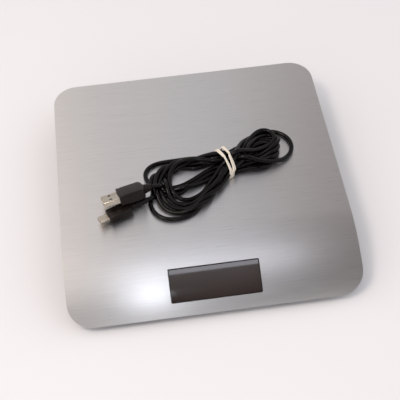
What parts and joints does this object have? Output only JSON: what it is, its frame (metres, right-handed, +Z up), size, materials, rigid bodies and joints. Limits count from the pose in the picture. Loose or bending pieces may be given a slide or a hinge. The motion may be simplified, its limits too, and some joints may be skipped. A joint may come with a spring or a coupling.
{
  "type": "digital kitchen scale",
  "caption": "Slim digital kitchen scale: flat brushed steel plate that rolls down over the front with a display window, on a plastic base, with its USB lead lying on the plate.",
  "frame": {"origin": "on the table plane under the centre of the plate's outline, level with the undersides of the rubber feet", "axes": "+X to the right across the width, +Y to the flat back edge, away from the display, +Z up out of the weighing plate"},
  "size_m": [0.21, 0.2078, 0.0469],
  "materials": {
    "brushed_steel": "fine straight brushing across the width",
    "black_abs": "fine-textured moulding",
    "grey_abs": "satin moulding",
    "tinted_lens": "dark tinted acrylic, polished",
    "lcd_glass": "reflective LCD behind glass",
    "circuit_board": "green solder mask on glass-epoxy laminate",
    "aluminium": "milled",
    "plated_steel": "bright nickel plate",
    "rubber": "soft moulding",
    "white_plastic": "plain moulding",
    "cell_wrap": "printed shrink film",
    "cord_pvc": "semi-gloss flexible PVC",
    "white_rubber": "cream elastic",
    "foam_tape": "double-sided acrylic foam"
  },
  "bodies": {
    "base": {"load_cell": "aluminium", "load_cell_foot": "plated_steel", "load_cell_foot_screw_1": "plated_steel", "load_cell_foot_screw_2": "plated_steel", "overload_stop": "plated_steel", "base_tray": "black_abs", "base_cover": "black_abs", "foot_front_left": "rubber", "foot_front_right": "rubber", "foot_rear_left": "rubber", "foot_rear_right": "rubber", "housing_screw_front_left": "plated_steel", "housing_screw_front_right": "plated_steel", "housing_screw_rear_left": "plated_steel", "housing_screw_rear_right": "plated_steel", "display_lens": "tinted_lens", "display_frame": "white_plastic", "lcd_glass": "lcd_glass", "contact_strip_upper": "rubber", "contact_strip_lower": "rubber", "main_board": "circuit_board", "chip_cover": "black_abs", "tare_switch": "black_abs", "unit_switch": "black_abs", "key_board": "circuit_board", "usb_board": "circuit_board", "usb_socket": "plated_steel", "cell_1": "cell_wrap", "cell_2": "cell_wrap", "battery_spring_1": "plated_steel", "battery_spring_2": "plated_steel", "battery_contact_front": "plated_steel", "battery_contact_rear": "plated_steel", "load_cell_wire": "cord_pvc", "battery_wire": "cord_pvc", "usb_wire": "cord_pvc", "key_wire": "cord_pvc"},
    "platform": {"platform_plate": "brushed_steel", "platform_carrier": "black_abs", "bonding_tape_left": "foam_tape", "bonding_tape_right": "foam_tape", "load_cell_head": "plated_steel", "load_cell_head_screw_1": "plated_steel", "load_cell_head_screw_2": "plated_steel"},
    "tare_key_body": {"tare_key": "grey_abs", "tare_switch_plunger": "white_plastic"},
    "unit_key_body": {"unit_key": "grey_abs", "unit_switch_plunger": "white_plastic"},
    "battery_door_body": {"battery_door": "black_abs"},
    "usb_lead": {"cord_hank": "cord_pvc", "cord_tie": "white_rubber", "usb_a_shell": "plated_steel", "usb_a_tongue": "white_plastic", "usb_a_body": "cord_pvc", "mini_plug_shell": "plated_steel", "mini_plug_body": "cord_pvc", "usb_a_cord_end": "cord_pvc", "mini_cord_end": "cord_pvc"}
  },
  "joints": [
    {"name": "platform_travel", "type": "slide", "parent": "base", "child": "platform", "axis": [0, 0, -1], "range_m": [0, 0.0004], "stiffness_N_per_m": 120000},
    {"name": "tare_key_press", "type": "slide", "parent": "base", "child": "tare_key_body", "axis": [-1, 0, 0], "range_m": [0, 0.0004], "stiffness_N_per_m": 4000},
    {"name": "unit_key_press", "type": "slide", "parent": "base", "child": "unit_key_body", "axis": [-1, 0, 0], "range_m": [0, 0.0004], "stiffness_N_per_m": 4000},
    {"name": "battery_door_slide", "type": "slide", "parent": "base", "child": "battery_door_body", "axis": [0, 1, 0], "range_m": [0, 0.065]},
    {"name": "usb_lead_lift", "type": "slide", "parent": "platform", "child": "usb_lead", "axis": [0, 0, 1], "range_m": [0, 0.15]}
  ]
}
